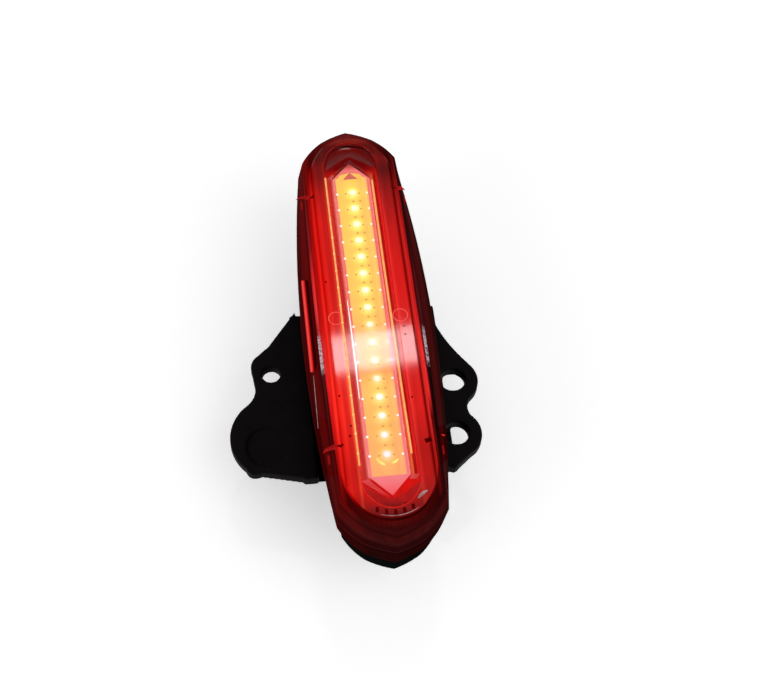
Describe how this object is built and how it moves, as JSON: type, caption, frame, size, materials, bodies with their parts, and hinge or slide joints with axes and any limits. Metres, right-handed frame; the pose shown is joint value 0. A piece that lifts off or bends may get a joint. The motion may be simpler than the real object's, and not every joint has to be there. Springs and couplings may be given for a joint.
{
  "type": "bicycle tail light",
  "caption": "Rechargeable bicycle tail light: long six-sided red lens with a glowing lamp strip, side button, black housing, on a rubber saddle with band ears.",
  "frame": {"origin": "middle of the part's footprint, on the plane of the saddle's two resting lands", "axes": "+Z out through the lens, +Y along the light towards its far end with the charging socket, +X towards the two band ears"},
  "size_m": [0.0411, 0.0772, 0.0264],
  "materials": {
    "lens_red": "polished, see-through red",
    "window_clear": "polished, clear",
    "tray_red": "satin",
    "board_white": "satin",
    "glow_coat": "glowing orange coat over the lamp board",
    "lamp_white": "glowing white",
    "housing_black": "fine grain",
    "seal_rubber": "soft",
    "board_green": "solder mask",
    "button_red": "see-through red",
    "cover_rubber": "soft",
    "clip_black": "fine grain",
    "latch_black": "fine grain",
    "pin_steel": "drawn",
    "core_steel": "rolled",
    "saddle_rubber": "moulded, matt",
    "screw_steel": "dark plated",
    "cell_silver": "foil pouch",
    "switch_black": "moulded",
    "socket_steel": "stamped",
    "foam_grey": "foam",
    "plunger_white": "moulded",
    "tongue_black": "moulded",
    "chip_black": "moulded",
    "coil_dark": "ferrite",
    "charge_lamp": "clear",
    "capacitor_tan": "ceramic",
    "wire_red": "insulated wire",
    "wire_black": "insulated wire"
  },
  "bodies": {
    "bracket": {"saddle_pad": "saddle_rubber", "core_plate": "core_steel", "clip_plate": "clip_black", "clip_screw_a": "screw_steel", "clip_screw_b": "screw_steel", "latch_pin": "pin_steel"},
    "latch": {"release_latch": "latch_black"},
    "light": {"battery_cell": "cell_silver", "battery_foam": "foam_grey", "battery_guard": "board_green", "battery_lead_live": "wire_red", "battery_lead_return": "wire_black", "charge_capacitor": "capacitor_tan", "charge_chip": "chip_black", "charge_lamp": "charge_lamp", "driver_chip": "chip_black", "housing_screw_far_left": "screw_steel", "housing_screw_far_right": "screw_steel", "housing_screw_near_left": "screw_steel", "housing_screw_near_right": "screw_steel", "led_01": "lamp_white", "led_02": "lamp_white", "led_03": "lamp_white", "led_04": "lamp_white", "led_05": "lamp_white", "led_06": "lamp_white", "led_07": "lamp_white", "led_08": "lamp_white", "led_09": "lamp_white", "led_10": "lamp_white", "led_11": "lamp_white", "led_12": "lamp_white", "led_13": "lamp_white", "led_14": "lamp_white", "led_15": "lamp_white", "led_16": "lamp_white", "led_board": "board_white", "led_gel": "glow_coat", "led_lead_live": "wire_red", "led_lead_return": "wire_black", "lens_cover": "lens_red", "light_window": "window_clear", "main_board": "board_green", "power_coil": "coil_dark", "rear_housing": "housing_black", "reflector_tray": "tray_red", "seal_ring": "seal_rubber", "tact_switch": "switch_black", "usb_socket": "socket_steel", "usb_tongue": "tongue_black"},
    "button": {"power_button": "button_red"},
    "plunger": {"switch_plunger": "plunger_white"},
    "port_cover": {"usb_cover": "cover_rubber"}
  },
  "joints": [
    {"name": "light_slide", "type": "slide", "parent": "bracket", "child": "light", "axis": [0, 1, 0], "range_m": [0, 0.0285]},
    {"name": "latch_press", "type": "hinge", "parent": "bracket", "child": "latch", "pos_m": [0.00285, -0.01, 0.0091], "axis": [1, 0, 0], "range_deg": [0, 5.5], "stiffness_Nm_per_rad": 0.2, "springref_deg": -2.86},
    {"name": "button_press", "type": "slide", "parent": "light", "child": "button", "axis": [1, 0, 0], "range_m": [0, 0.0003], "stiffness_N_per_m": 4000, "springref_m": -0.0001},
    {"name": "plunger_press", "type": "slide", "parent": "light", "child": "plunger", "axis": [1, 0, 0], "range_m": [0, 0.0003]},
    {"name": "cover_open", "type": "hinge", "parent": "light", "child": "port_cover", "pos_m": [0.00285, 0.03605, 0.01565], "axis": [-1, 0, 0], "range_deg": [0, 95]}
  ],
  "couplings": [
    {"joint": "plunger_press", "follows": "button_press", "ratio": 1}
  ]
}
